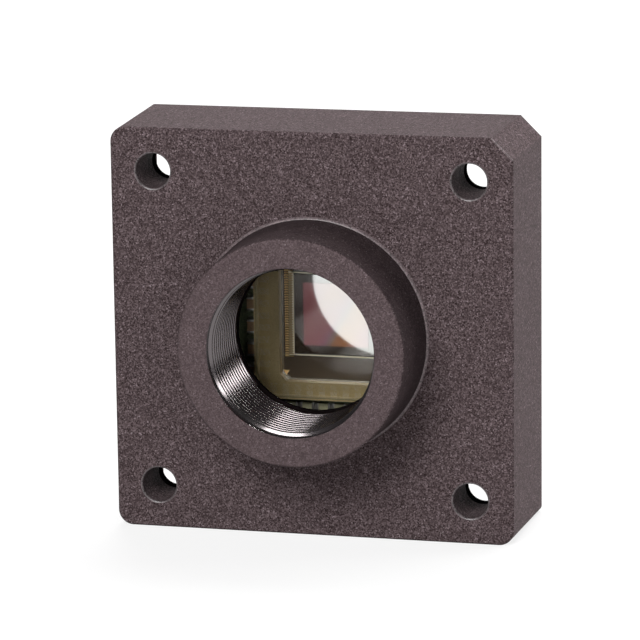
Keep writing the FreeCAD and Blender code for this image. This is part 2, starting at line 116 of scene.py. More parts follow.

# ---- sensor ----
FILM = 0.02 * MM                # thickness of printed, plated or deposited layers
FILM_GAP = 0.02 * MM            # bare strip between the die and the plating
PIXEL_WIDTH = 4.8 * MM
PIXEL_HEIGHT = 4.6 * MM
DIE_LEAN = (-0.034, 0.0, 0.0)   # tilt of the die's mirror image
DIE_RIM = 0.18 * MM             # dark filler round the die
DIE_BAND = 0.20 * MM            # width of the pads' band on the die itself
BOND_ROW = 3.68 * MM            # from the axis to the row of bonds on the ledge
BEAD_HALF = Vector((0.135 * MM, 0.0, 0.055 * MM))
BEAD_HEIGHT = 0.10 * MM
BEAD_BEVEL = 0.045 * MM
CAVITY_HALF_X = 4.08 * MM
CAVITY_HALF_Z = 4.93 * MM
MARK_SIZE = 0.22 * MM           # the gold triangle at pin one
MARK_DROP = 1.2 * MM            # below the last bond wire
SEAL_WIDTH = 0.16 * MM
SEAL_HEIGHT = 0.14 * MM
SEAL_BEVEL = 0.05 * MM

# ---- small chips on the board ----
CHIP_NODES = ("sensor_side_capacitors", "sensor_side_resistors", "rear_capacitors", "rear_resistors")
CAP_LENGTH = 0.15 * MM
CAP_SKIN = 0.008 * MM
CAP_BEVEL = 0.02 * MM
SOLDER_REACH = 0.16 * MM
SOLDER_HEIGHT = 0.7             # share of the chip's height

# ---- studio ----
ROOM_LIGHT = 0.05               # even light from all round
ROOM_REFLECTION = 0.06          # what gloss sees of the room in front of the object
ROOM_EDGE = (-0.45, 0.35)       # Y of the direction where the room gives way to the backdrop
FLOOR_SIZE = 3.0
FLOOR_BOUNCE = 0.36             # the floor as diffuse light meets it
FLOOR_SHADED = 0.28             # the floor as it is seen: this and a glow make white
FLOOR_GLOW = 0.74
LAMPS = (                       # name, azimuth, elevation, distance, size, radiance
    ("key_softbox", -10.0, 34.0, 0.45, 0.20, 14.5),
    ("front_softbox", 6.0, 6.0, 0.45, 0.12, 7.0),
    ("right_softbox", 40.0, 14.0, 0.36, 0.055, 15.0),
    ("side_softbox", 68.0, 24.0, 0.36, 0.04, 10.0),
    ("rear_top_softbox", 180.0, 55.0, 0.45, 0.30, 7.0),
    ("rear_right_softbox", 128.0, 14.0, 0.45, 0.27, 8.6),
)


# ---------------------------------------------------------------- materials

def grey(value):
    return (value, value, value)


class Surface:
    """A Principled material with helpers for procedural detail in object space."""

    def __init__(self, name, color, roughness, metallic=0.0, **sockets):
        self.material = bpy.data.materials.new(name)
        self.material.use_nodes = True
        self.nodes = self.material.node_tree.nodes
        self.links = self.material.node_tree.links
        self.shader = self.nodes["Principled BSDF"]
        self.shader.inputs["Base Color"].default_value = (*color, 1.0)
        self.shader.inputs["Roughness"].default_value = roughness
        self.shader.inputs["Metallic"].default_value = metallic
        for socket, value in sockets.items():
            self.shader.inputs[socket.replace("_", " ")].default_value = value
        self.place = self.nodes.new("ShaderNodeTexCoord").outputs["Object"]

    def coordinate(self, axis):
        """The place along X, Y or Z in metres."""
        split = self.nodes.new("ShaderNodeSeparateXYZ")
        self.links.new(self.place, split.inputs["Vector"])
        return split.outputs[axis]

    def along(self, axis, low, high):
        """0 to 1 as the place goes from low to high along X, Y or Z."""
        node = self.nodes.new("ShaderNodeMapRange")
        node.inputs["From Min"].default_value = low
        node.inputs["From Max"].default_value = high
        self.links.new(self.coordinate(axis), node.inputs["Value"])
        return node.outputs["Result"]

    def stretched(self, x, y, z):
        """The place with its axes scaled, for grain that runs one way."""
        mapping = self.nodes.new("ShaderNodeMapping")
        mapping.inputs["Scale"].default_value = (x, y, z)
        self.links.new(self.place, mapping.inputs["Vector"])
        return mapping.outputs["Vector"]

    def noise(self, grain, detail=3.0, rough=0.55, vector=None):
        """Noise whose features are about grain metres across."""
        texture = self.nodes.new("ShaderNodeTexNoise")
        texture.inputs["Scale"].default_value = 1.0 / grain
        texture.inputs["Detail"].default_value = detail
        texture.inputs["Roughness"].default_value = rough
        self.links.new(vector or self.place, texture.inputs["Vector"])
        return texture.outputs["Fac"]

    def cells(self, size, output="Distance"):
        """Voronoi cells about size metres across: distance to the middle, or a colour each."""
        texture = self.nodes.new("ShaderNodeTexVoronoi")
        texture.inputs["Scale"].default_value = 1.0 / size
        self.links.new(self.place, texture.inputs["Vector"])
        return texture.outputs[output]

    def ramp(self, value, stops):
        """A colour ramp; stops are (position, colour)."""
        node = self.nodes.new("ShaderNodeValToRGB")
        elements = node.color_ramp.elements
        while len(elements) < len(stops):
            elements.new(0.5)
        for element, (position, color) in zip(elements, stops):
            element.position = position
            element.color = (*color, 1.0)
        self.links.new(value, node.inputs["Fac"])
        return node.outputs["Color"]

    def mix(self, factor, first, second):
        """One colour over another; each input is an output socket or a plain value."""
        node = self.nodes.new("ShaderNodeMix")
        node.data_type = "RGBA"
        self.plug(factor, node.inputs["Factor"])
        self.plug(first, node.inputs["A"])
        self.plug(second, node.inputs["B"])
        return node.outputs["Result"]

    def math(self, operation, first, second=0.0):
        node = self.nodes.new("ShaderNodeMath")
        node.operation = operation
        self.plug(first, node.inputs[0])
        self.plug(second, node.inputs[1])
        return node.outputs[0]

    def plug(self, value, socket):
        """Links an output socket, or sets a colour or number."""
        if isinstance(value, bpy.types.NodeSocket):
            self.links.new(value, socket)
        elif isinstance(value, tuple):
            socket.default_value = (*value, 1.0)
        else:
            socket.default_value = value

    def to(self, value, socket):
        """Links an output to the shader."""
        self.links.new(value, self.shader.inputs[socket])

    def roughness_between(self, value, low, high):
        node = self.nodes.new("ShaderNodeMapRange")
        node.inputs["To Min"].default_value = low
        node.inputs["To Max"].default_value = high
        self.links.new(value, node.inputs["Value"])
        self.to(node.outputs["Result"], "Roughness")

    def bump(self, height, depth, strength=1.0):
        """Adds relief of a given depth in metres over the relief that is there already."""
        node = self.nodes.new("ShaderNodeBump")
        node.inputs["Distance"].default_value = depth
        node.inputs["Strength"].default_value = strength
        self.links.new(height, node.inputs["Height"])
        previous = self.shader.inputs["Normal"]
        if previous.is_linked:
            self.links.new(previous.links[0].from_socket, node.inputs["Normal"])
        self.to(node.outputs["Normal"], "Normal")

    def lean(self, x, y, z):
        """Tilts the surface as it mirrors, by adding a small vector to its normal."""
        geometry = self.nodes.new("ShaderNodeNewGeometry")
        added = self.nodes.new("ShaderNodeVectorMath")
        added.operation = "ADD"
        added.inputs[1].default_value = (x, y, z)
        self.links.new(geometry.outputs["Normal"], added.inputs[0])
        unit = self.nodes.new("ShaderNodeVectorMath")
        unit.operation = "NORMALIZE"
        self.links.new(added.outputs["Vector"], unit.inputs[0])
        self.to(unit.outputs["Vector"], "Normal")


def rear_painted_shade(skin):
    """1 inside the housing round the rear ends of the holes, where the coat is painted near-black as
    shade.
    """
    zone = skin.along("Y", *SHADE_ZONE_START)
    for axis in ("X", "Z"):
        distance = skin.math("ABSOLUTE", skin.coordinate(axis))
        zone = skin.math("MULTIPLY", zone, skin.math("LESS_THAN", distance, SHADE_ZONE_REACH))
    return skin.math("MULTIPLY", zone, skin.math("LESS_THAN", skin.coordinate("Y"), SHADE_ZONE_END))


def powder_coat():
    """Fine-grained black powder coat, a little warm, with dark pits and pale specks; the pale specks
    are painted glints of the grain, and shade is painted on the nose's side and in the rear hollows.
    """
    skin = Surface("powder_coat", (0.078, 0.057, 0.060), 0.5, Specular_IOR_Level=0.015)
    grain = skin.cells(0.088 * MM, "Color")
    tone = skin.ramp(grain, [
        (0.10, (0.020, 0.013, 0.013)),
        (0.50, (0.072, 0.052, 0.054)),
        (0.82, (0.142, 0.107, 0.113)),
        (0.98, (0.26, 0.205, 0.22)),
    ])
    tip_face = skin.math("SUBTRACT", 1.0, skin.along("Y", *TIP_FACE_FADE))
    tone = skin.mix(skin.math("MULTIPLY", tip_face, 0.45), tone, (0.105, 0.078, 0.082))
    # painted shade: the nose's side wall is darkened most of the way to near-black
    nose_painted_shade = skin.math("MULTIPLY", skin.along("Y", *NOSE_SHADE_START),
                          skin.math("SUBTRACT", 1.0, skin.along("Y", *NOSE_SHADE_END)))
    tone = skin.mix(skin.math("MULTIPLY", nose_painted_shade, 0.62), tone, (0.016, 0.011, 0.012))
    cloud = skin.ramp(skin.noise(1.6 * MM, 4.0, 0.65), [(0.35, grey(0.0)), (0.7, grey(0.30))])
    tone = skin.mix(cloud, tone, (0.062, 0.045, 0.048))
    # painted highlights: pale specks that stand in for glints off the coat's grain
    speck = skin.ramp(skin.cells(0.22 * MM), [(0.0, grey(1.0)), (0.24, grey(0.0))])
    sparse = skin.ramp(skin.noise(0.40 * MM, 1.0), [(0.54, grey(0.0)), (0.64, grey(0.8))])
    tone = skin.mix(skin.math("MULTIPLY", speck, sparse), tone, (0.36, 0.31, 0.32))
    # painted shade: the coat turns near-black in the rear zone
    skin.to(skin.mix(rear_painted_shade(skin), tone, grey(0.002)), "Base Color")
    skin.roughness_between(grain, 0.46, 0.66)
    skin.bump(skin.noise(0.10 * MM, 2.0), 0.03 * MM, 0.7)
    skin.bump(skin.noise(0.32 * MM, 3.0), 0.03 * MM, 0.5)
    return skin.material


def pale_edge_highlight(name, color, roughness):
    """The coat over a rounded edge: smoother, and paler as a painted highlight along the edge."""
    skin = Surface(name, color, roughness)
    grain = skin.cells(0.10 * MM, "Color")
    dark = tuple(channel * 0.5 for channel in color)
    bright = tuple(channel * 1.7 for channel in color)
    skin.to(skin.ramp(grain, [(0.15, dark), (0.85, bright)]), "Base Color")
    skin.roughness_between(grain, roughness * 0.85, roughness * 1.2)
    skin.bump(skin.noise(0.12 * MM, 2.0), 0.01 * MM, 0.5)
    return skin.material


def thread_coat():
    """The same coat where it lies thin and glossy on the cut thread."""
    skin = Surface("thread_coat", (0.008, 0.006, 0.007), 0.17, IOR=2.15,
                   Specular_Tint=(1.0, 0.90, 0.92, 1.0))
    slow = skin.noise(1.6 * MM, 2.0, 0.5, skin.stretched(1.0, 5.0, 1.0))
    tone = skin.ramp(slow, [(0.3, (0.005, 0.004, 0.004)), (0.7, (0.011, 0.009, 0.010))])
    skin.to(tone, "Base Color")
    skin.roughness_between(slow, 0.145, 0.195)
    skin.bump(slow, 0.002 * MM, 0.3)
    return skin.material


def hole_lining():
    """Near-black with no gloss, behind the holes and the thread: painted shade, which reflects almost
    nothing.
    """
    skin = Surface("hole_lining", (0.004, 0.003, 0.003), 0.8, Specular_IOR_Level=0.0)
    fine = skin.noise(0.08 * MM, 2.0)
    tone = skin.ramp(fine, [(0.3, (0.002, 0.0015, 0.0015)), (0.7, (0.008, 0.006, 0.006))])
    skin.to(tone, "Base Color")
    skin.roughness_between(fine, 0.7, 0.9)
    skin.bump(fine, 0.01 * MM, 0.5)
    return skin.material


def solder_mask():
    """Green-brown lacquer over a woven laminate."""
    skin = Surface("solder_mask", (0.09, 0.105, 0.055), 0.34)
    weave = skin.math("MULTIPLY", skin.noise(0.35 * MM, 1.0, 0.5, skin.stretched(5.0, 1.0, 1.0)),
                      skin.noise(0.35 * MM, 1.0, 0.5, skin.stretched(1.0, 1.0, 5.0)))
    tone = skin.ramp(weave, [(0.12, (0.062, 0.078, 0.042)), (0.36, (0.125, 0.145, 0.076))])
    skin.to(tone, "Base Color")
    skin.roughness_between(skin.noise(0.8 * MM), 0.26, 0.44)
    skin.bump(weave, 0.012 * MM, 0.4)
    return skin.material


def package_ceramic():
    """Olive-brown fired ceramic, fine-grained."""
    skin = Surface("package_ceramic", (0.45, 0.35, 0.18), 0.42)
    grain = skin.noise(0.08 * MM, 3.0)
    tone = skin.ramp(grain, [(0.3, (0.36, 0.27, 0.135)), (0.7, (0.55, 0.42, 0.22))])
    skin.to(tone, "Base Color")
    skin.roughness_between(skin.noise(0.5 * MM), 0.34, 0.52)
    skin.bump(grain, 0.006 * MM, 0.5)
    return skin.material


def cavity_metal():
    """The dark plated floor of the cavity, which mirrors the bore a little."""
    skin = Surface("cavity_metal", (0.11, 0.082, 0.056), 0.12, IOR=3.8)
    fine = skin.noise(0.10 * MM, 3.0)
    tone = skin.ramp(fine, [(0.3, (0.085, 0.062, 0.043)), (0.7, (0.15, 0.112, 0.078))])
    skin.to(tone, "Base Color")
    skin.roughness_between(skin.noise(0.6 * MM), 0.10, 0.15)
    skin.bump(fine, 0.002 * MM, 0.3)
    return skin.material


def bond_gold():
    """Gold balls and pads: soft orange where the light grazes them."""
    skin = Surface("bond_gold", (1.0, 0.66, 0.34), 0.42, 0.35)
    fine = skin.noise(0.09 * MM, 2.0)
    skin.to(skin.ramp(fine, [(0.3, (1.0, 0.52, 0.17)), (0.7, (1.0, 0.74, 0.38))]), "Base Color")
    skin.roughness_between(fine, 0.36, 0.48)
    skin.bump(fine, 0.004 * MM, 0.4)
    return skin.material


def silicon():
    """Polished die face: a dark mirror with faint circuit blocks."""
    skin = Surface("silicon", (0.14, 0.11, 0.08), 0.05, IOR=10.5)
    skin.lean(*DIE_LEAN)
    rows = skin.noise(0.10 * MM, 1.0, 0.5, skin.stretched(1.0, 1.0, 0.12))
    tone = skin.ramp(rows, [(0.35, (0.09, 0.068, 0.048)), (0.65, (0.17, 0.13, 0.092))])
    skin.to(tone, "Base Color")
    skin.roughness_between(rows, 0.045, 0.07)
    return skin.material


def pixel_filters(low, high):
    """Maroon filter field, with a purple, green and orange band near one corner, and a faint maroon
    glow that is painted light.
    """
    # painted light: the emission makes the field glow faintly though it is no lamp
    skin = Surface("pixel_filters", (0.85, 0.24, 0.27), 0.05, IOR=10.5,
                   Emission_Color=(1.0, 0.26, 0.29, 1.0), Emission_Strength=0.045)
    skin.lean(*DIE_LEAN)
    across = skin.along("X", low.x, high.x)
    upward = skin.along("Z", low.z, high.z)
    band = skin.math("SUBTRACT", across, skin.math("MULTIPLY", upward, 0.55))
    hues = skin.ramp(band, [
        (0.0, (0.80, 0.22, 0.25)),
        (0.20, (0.80, 0.21, 0.27)),
        (0.29, (0.70, 0.20, 0.50)),
        (0.37, (0.35, 0.50, 0.38)),
        (0.44, (1.0, 0.40, 0.06)),
        (0.62, (1.0, 0.45, 0.10)),
        (0.80, (0.80, 0.22, 0.25)),
    ])
    fine = skin.noise(0.06 * MM, 1.0)
    veil = skin.ramp(fine, [(0.3, grey(0.0)), (0.7, grey(0.10))])
    skin.to(skin.mix(veil, hues, (0.2, 0.08, 0.1)), "Base Color")
    skin.roughness_between(fine, 0.04, 0.06)
    return skin.material


def plain_metal(name, color, roughness, grain, brushed=(1.0, 1.0, 1.0)):
    """A metal with fine drawn or plated grain."""
    skin = Surface(name, color, roughness, 1.0)
    lines = skin.noise(grain, 3.0, 0.6, skin.stretched(*brushed))
    dark = tuple(channel * 0.72 for channel in color)
    skin.to(skin.ramp(lines, [(0.3, dark), (0.68, color)]), "Base Color")
    skin.roughness_between(lines, roughness * 0.75, min(1.0, roughness * 1.35))
    skin.bump(lines, 0.004 * MM, 0.35)
    return skin.material


def moulding(name, color, roughness, grain=0.06 * MM, lift=1.35):
    """A moulded plastic or fired body with a fine matt grain and slow tone changes."""
    skin = Surface(name, color, roughness)
    fine = skin.noise(grain, 3.0)
    slow = skin.noise(1.6 * MM, 2.0)
    bright = tuple(min(1.0, channel * lift) for channel in color)
    dark = tuple(channel / lift for channel in color)
    tone = skin.ramp(fine, [(0.32, dark), (0.68, bright)])
    calm = skin.ramp(slow, [(0.35, grey(0.0)), (0.7, grey(0.4))])
    skin.to(skin.mix(calm, tone, color), "Base Color")
    skin.roughness_between(slow, roughness * 0.85, min(1.0, roughness * 1.2))
    skin.bump(fine, 0.006 * MM, 0.5)
    return skin.material


def clear_glass():
    """Thin coated cover glass: light goes straight through, and it mirrors a little, by angle."""
    pane = Surface("cover_glass", (1.0, 1.0, 1.0), 0.01)
    nodes, links = pane.nodes, pane.links
    coating = pane.noise(2.4 * MM, 2.0)
    nodes.remove(pane.shader)
    clear = nodes.new("ShaderNodeBsdfTransparent")
    tint = pane.ramp(coating, [(0.3, (0.985, 0.99, 0.975)), (0.7, (0.975, 0.985, 0.985))])
    links.new(tint, clear.inputs["Color"])
    gloss = nodes.new("ShaderNodeBsdfGlossy")
    polish = nodes.new("ShaderNodeMapRange")
    polish.inputs["To Min"].default_value = 0.008
    polish.inputs["To Max"].default_value = 0.016
    links.new(coating, polish.inputs["Value"])
    links.new(polish.outputs["Result"], gloss.inputs["Roughness"])
    angle = nodes.new("ShaderNodeFresnel")
    angle.inputs["IOR"].default_value = 1.12
    mix = nodes.new("ShaderNodeMixShader")
    links.new(angle.outputs["Fac"], mix.inputs["Fac"])
    links.new(clear.outputs["BSDF"], mix.inputs[1])
    links.new(gloss.outputs["BSDF"], mix.inputs[2])
    links.new(mix.outputs["Shader"], nodes["Material Output"].inputs["Surface"])
    return pane.material


# ---------------------------------------------------------------- meshes

def finish_piece(name, form, material, smooth_angle=None):
    """Turns a finished bmesh into a piece of the object, riding on the one body."""
    mesh = bpy.data.meshes.new(name)
    form.to_mesh(mesh)
    form.free()
    mesh.materials.append(material)
    if smooth_angle is not None:
        mesh.polygons.foreach_set("use_smooth", [True] * len(mesh.polygons))
        mesh.set_sharp_from_angle(angle=smooth_angle)
    piece = bpy.data.objects.new(name, mesh)
    bpy.context.scene.collection.objects.link(piece)
    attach(piece, "root")


def bevelled_boxes(name, boxes, bevel, material):
    """One piece made of many boxes (low corner, high corner) with soft edges."""
    form = bmesh.new()
    for low, high in boxes:
        size = [max(b - a, 1e-7) for a, b in zip(low, high)]
        centre = [(a + b) / 2 for a, b in zip(low, high)]
        matrix = Matrix.Translation(centre) @ Matrix.Diagonal((*size, 1.0))
        bmesh.ops.create_cube(form, size=1.0, matrix=matrix)
    bmesh.ops.bevel(form, geom=form.edges[:], offset=bevel, segments=2, profile=0.6, affect="EDGES")
    finish_piece(name, form, material, math.radians(35))


def add_prism(form, low, high):
    """A closed prism between two outlines of vertices."""
    form.faces.new(low)
    form.faces.new(high[::-1])
    for index in range(len(low)):
        following = (index + 1) % len(low)
        form.faces.new((low[index], high[index], high[following], low[following]))


def flat_shapes(name, outlines, y_low, y_high, material):
    """One piece made of flat shapes: each outline of (x, z) runs from y_low to y_high."""
    form = bmesh.new()
    for outline in outlines:
        low = [form.verts.new((x, y_low, z)) for x, z in outline]
        high = [form.verts.new((x, y_high, z)) for x, z in outline]
        add_prism(form, low, high)
    bmesh.ops.recalc_face_normals(form, faces=form.faces[:])
    finish_piece(name, form, material)


def islands(node):
    """The box of each separate solid in a CAD node, as (low corner, high corner)."""
    mesh = NODES[node].data
    keys = [tuple(round(value / (0.001 * MM)) for value in vertex.co) for vertex in mesh.vertices]
    parent = {key: key for key in keys}

    def root(key):
        while parent[key] != key:
            parent[key] = parent[parent[key]]
            key = parent[key]
        return key

    for polygon in mesh.polygons:
        first = root(keys[polygon.vertices[0]])
        for index in polygon.vertices[1:]:
            parent[root(keys[index])] = first
    groups = {}
    for key, vertex in zip(keys, mesh.vertices):
        groups.setdefault(root(key), []).append(vertex.co)
    boxes = []
    for places in groups.values():
        low = Vector([min(place[axis] for place in places) for axis in range(3)])
        high = Vector([max(place[axis] for place in places) for axis in range(3)])
        boxes.append((low, high))
    return sorted(boxes, key=lambda box: tuple(round(value, 6) for value in (*box[0], *box[1])))


def skin_rings(form, rings, closed):
    """Quads between neighbouring rings of vertices, with end caps where the run is open."""
    pairs = list(zip(rings, rings[1:]))
    if closed:
        pairs.append((rings[-1], rings[0]))
    for ring, following in pairs:
        for index in range(len(ring)):
            other = (index + 1) % len(ring)
            form.faces.new((ring[index], ring[other], following[other], following[index]))
    if not closed:
        form.faces.new(rings[0][::-1])
        form.faces.new(rings[-1])
    bmesh.ops.recalc_face_normals(form, faces=form.faces[:])


def full_turn(steps):
    """Equal angles round a circle."""
    return [2 * math.pi * step / steps for step in range(steps)]


def turned_ring(name, profile, material, smooth_angle=math.radians(30), centre=(0.0, 0.0)):
    """A ring about an axis along Y from a closed profile of (radius, y)."""
    form = bmesh.new()
    rings = []
    for angle in full_turn(TURN_STEPS):
        across, upward = math.cos(angle), math.sin(angle)
        rings.append([form.verts.new((centre[0] + r * across, y, centre[1] + r * upward))
                      for r, y in profile])
    skin_rings(form, rings, True)
    finish_piece(name, form, material, smooth_angle)


# ---------------------------------------------------------------- lens thread

def bore_radius_and_ends():
    """Thread major radius and the axial places where its bore begins and ends."""
    mount = MOUNTS["lens_thread"]
    radius = mount["dims"]["r_mm"] * MM
    length = mount["dims"]["length_mm"] * MM
    middle = mount["pos_m"][1]
    return radius, middle - length / 2, middle + length / 2


def ridge_profile(radius, crest):
    """Ridge section as (radius, axial offset): 60 degree flanks and a rounded crest."""
    half_base = THREAD_PITCH * 7 / 16
    half_crest = THREAD_PITCH / 8
    shoulder = 0.25 * (radius - crest)
    inset = shoulder * ((half_base - half_crest) / (radius - THREAD_CREST))
    return [
        (radius + THREAD_SINK, -half_base),
        (crest + shoulder, -half_crest - inset),
        (crest + 0.3 * shoulder, -half_crest - 0.2 * inset),
        (crest, -half_crest * 0.45),
        (crest, half_crest * 0.45),
        (crest + 0.3 * shoulder, half_crest + 0.2 * inset),
        (crest + shoulder, half_crest + inset),
        (radius + THREAD_SINK, half_base),
    ]


def thread_ridges(material):
    """A helical ridge standing inward from the bore, fading in behind the mouth."""
    radius, mouth, end = bore_radius_and_ends()
    start = mouth + THREAD_MOUTH
    turns = (end - THREAD_RELIEF - start) / THREAD_PITCH
    form = bmesh.new()
    rings = []
    for step in range(int(turns * TURN_STEPS) + 1):
        turn = step / TURN_STEPS
        fade = max(0.02, min(1.0, THREAD_FADE * turn))
        angle = 2 * math.pi * turn + THREAD_START
        y = start + THREAD_PITCH * turn
        crest = radius - (radius - THREAD_CREST) * fade
        rings.append([form.verts.new((r * math.cos(angle), y + offset, r * math.sin(angle)))
                      for r, offset in ridge_profile(radius, crest)])
    skin_rings(form, rings, False)
    finish_piece("thread_ridges", form, material, math.radians(50))


def bore_sleeve(material):
    """The thin glossy coat between and in front of the ridges."""
    radius, mouth, end = bore_radius_and_ends()
    inner = radius - THREAD_SINK
    turned_ring("bore_sleeve", [
        (radius + THREAD_SINK, mouth + 0.02 * MM),
        (inner, mouth + 0.04 * MM),
        (inner, end - 0.03 * MM),
        (radius + THREAD_SINK, end - 0.01 * MM),
    ], material)


def thread_end_lip(shade_black):
    """The lip that ends the bore, near-black: painted shade."""
    radius, _, end = bore_radius_and_ends()
    turned_ring("thread_end_lip", [
        (radius + THREAD_SINK, end - LIP_FRONT),
        (LIP_RADIUS + 0.05 * MM, end - LIP_FRONT),
        (LIP_RADIUS + 0.01 * MM, end - 0.04 * MM),
        (LIP_RADIUS, end),
        (LIP_RADIUS, end + 0.27 * MM),
        (LIP_RADIUS + 0.02 * MM, end + LIP_LENGTH),
        (LIP_RADIUS + 0.05 * MM, end + LIP_LENGTH),
        (radius + THREAD_SINK, end + 0.02 * MM),
    ], shade_black, math.radians(60))


def lip_bead(material):
    """A fine glossy bead along the inner edge of the lip."""
    _, _, end = bore_radius_and_ends()
    radius, y, thickness = LIP_RADIUS + 0.015 * MM, end + 0.26 * MM, 0.022 * MM
    profile = [(radius + thickness * math.cos(angle), y + thickness * math.sin(angle))
               for angle in full_turn(10)]
    turned_ring("lip_bead", profile, material, math.radians(60))


# ---------------------------------------------------------------- edges and holes

def soft_edge(name, wide, narrow, bulge, material, centre=(0.0, 0.0)):
    """A ring that rounds a turned bevel, from its wide end to its narrow one, as (radius, y)."""
    outer = Vector(wide)
    run = Vector(narrow) - outer
    out = Vector((run.y, -run.x)).normalized()
    if out.y > 0:
        out = -out
    profile = []
    for step in range(EDGE_STEPS + 1):
        share = step / EDGE_STEPS
        height = bulge * math.sin(math.pi * share) + EDGE_LIFT
        profile.append(tuple(outer + run * share + out * height))
    profile.append(tuple(outer + run - out * EDGE_DEPTH))
    profile.append(tuple(outer - out * EDGE_DEPTH))
    turned_ring(name, profile, material, math.radians(50), centre)


def corner_edge(material):
    """The rounded front edge of the one chamfered corner."""
    reach = CAD_BOX[1][0]
    start = Vector((reach - CORNER_CHAMFER, 0.0, reach))
    end = Vector((reach, 0.0, reach - CORNER_CHAMFER))
    inward = Vector((-1, 0, -1)).normalized()
    middle = inward * CORNER_BEAD + Vector((0, CORNER_BEAD_DEPTH, 0))
    form = bmesh.new()
    rings = []
    for place in (start, end):
        ring = []
        for angle in full_turn(12):
            around = inward * math.cos(angle) + Vector((0, 1, 0)) * math.sin(angle)
            ring.append(form.verts.new(place + middle + around * CORNER_BEAD))
        rings.append(ring)
    skin_rings(form, rings, False)
    finish_piece("corner_edge", form, material, math.radians(60))


def hole_rings(index, x, z, edge, shade_black):
    """The rounded mouth of one mounting hole and a near-black ring of painted shade at its rear."""
    name = "hole_%d" % index
    soft_edge(name + "_edge", (HOLE_RADIUS + HOLE_BREAK, 0.0), (HOLE_RADIUS, HOLE_BREAK),
              0.03 * MM, edge, (x, z))
    sunk, shade_radius = HOLE_RADIUS + 0.01 * MM, HOLE_RADIUS - 0.015 * MM
    # painted shade: a near-black ring over the rear part of the hole wall
    turned_ring(name + "_lining", [
        (sunk, SHADE_RING_START),
        (shade_radius, SHADE_RING_START + SHADE_RING_SLOPE),
        (shade_radius, SHADE_RING_END - SHADE_RING_SLOPE),
        (sunk, SHADE_RING_END),
    ], shade_black, math.radians(60), (x, z))


def broken_edges(coat, soft, hole_edge, shade_black):
    """Rounds the edges that catch the light: nose tip, nose root, one corner, hole mouths."""
    soft_edge("nose_tip_edge", (NOSE_TIP_RADIUS, NOSE_TIP + NOSE_TIP_BREAK),
              (NOSE_TIP_RADIUS - NOSE_TIP_BREAK, NOSE_TIP + 0.003 * MM), 0.015 * MM, coat)
    # the root edge and the chamfered corner's edge take the paler coat: painted highlight
    soft_edge("nose_root_edge", (NOSE_FOOT_RADIUS, 0.0),
              (NOSE_FOOT_RADIUS - NOSE_FOOT_BREAK, -NOSE_FOOT_BREAK), 0.03 * MM, soft)
    corner_edge(soft)
    for index, (x, z) in enumerate(HOLE_PLACES):
        hole_rings(index + 1, x, z, hole_edge, shade_black)


# ---------------------------------------------------------------- sensor

def rectangle(x_low, x_high, z_low, z_high):
    """Corners as (x, z)."""
    return [(x_low, z_low), (x_high, z_low), (x_high, z_high), (x_low, z_high)]


def frame_strips(half_x, half_z, width):
    """Four strips along the inside of a rectangle about the axis."""
    return [
        rectangle(-half_x, -half_x + width, -half_z, half_z),
        rectangle(half_x - width, half_x, -half_z, half_z),
        rectangle(-half_x + width, half_x - width, -half_z, -half_z + width),
        rectangle(-half_x + width, half_x - width, half_z - width, half_z),
    ]


def die_reach():
    """Half width and half height of the die with the filler round it."""
    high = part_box("sensor_die")[1]
    return high.x + DIE_RIM, high.z + DIE_RIM


def die_artwork(line, band, dark_rim):
    """Pixel field, pad bands at the sides, pale edge lines and the filler round the die."""
    low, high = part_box("sensor_die")
    face = low.y
    half = Vector((PIXEL_WIDTH / 2, 0, PIXEL_HEIGHT / 2))
    flat_shapes("pixel_field", [rectangle(-half.x, half.x, -half.z, half.z)], face - FILM, face,
                pixel_filters(-half, half))
    reach_x, reach_z = die_reach()
    flat_shapes("die_side_bands", [
        rectangle(-reach_x, -high.x + DIE_BAND, -reach_z, reach_z),
        rectangle(high.x - DIE_BAND, reach_x, -reach_z, reach_z),
    ], face - FILM, face, band)
    lines = [rectangle(x - 0.065 * MM, x + 0.065 * MM, -reach_z, reach_z)
             for x in (-high.x + 0.13 * MM, high.x - 0.13 * MM)]
    lines += [rectangle(-reach_x, reach_x, z - 0.05 * MM, z + 0.05 * MM)
              for z in (-reach_z + 0.05 * MM, reach_z - 0.05 * MM)]
    flat_shapes("die_edge_lines", lines, face - 1.6 * FILM, face, line)
    flat_shapes("die_rim", frame_strips(reach_x, reach_z, DIE_RIM), face, high.y, dark_rim)


def ledge_artwork(gold, plating):
    """Bond beads at the wires' feet, the plated floor of the cavity and the pin one mark."""
    wires = islands("bond_wires")
    ledge = max(high.y for _, high in wires)
    beads = []
    for low, high in wires:
        side = 1 if low.x > 0 else -1
        middle = Vector((side * BOND_ROW, ledge, (low.z + high.z) / 2))
        beads.append((middle - BEAD_HALF - Vector((0, BEAD_HEIGHT, 0)), middle + BEAD_HALF))
    bevelled_boxes("bond_beads", beads, BEAD_BEVEL, gold)

    reach_x, reach_z = die_reach()
    flat_shapes("cavity_plating", [
        rectangle(-CAVITY_HALF_X, CAVITY_HALF_X, -CAVITY_HALF_Z, -reach_z - FILM_GAP),
        rectangle(-CAVITY_HALF_X, CAVITY_HALF_X, reach_z + FILM_GAP, CAVITY_HALF_Z),
        rectangle(-CAVITY_HALF_X, -reach_x - FILM_GAP, -reach_z, reach_z),
        rectangle(reach_x + FILM_GAP, CAVITY_HALF_X, -reach_z, reach_z),
    ], ledge - 0.4 * FILM, ledge, plating)

    x = -max(abs(high.x) for _, high in wires)
    z = min(low.z for low, _ in wires) - MARK_DROP
    triangle = [(x - MARK_SIZE, z + MARK_SIZE * 0.6), (x + MARK_SIZE, z + MARK_SIZE * 0.6),
                (x, z - MARK_SIZE)]
    flat_shapes("pin_one_mark", [triangle], ledge - FILM, ledge, gold)


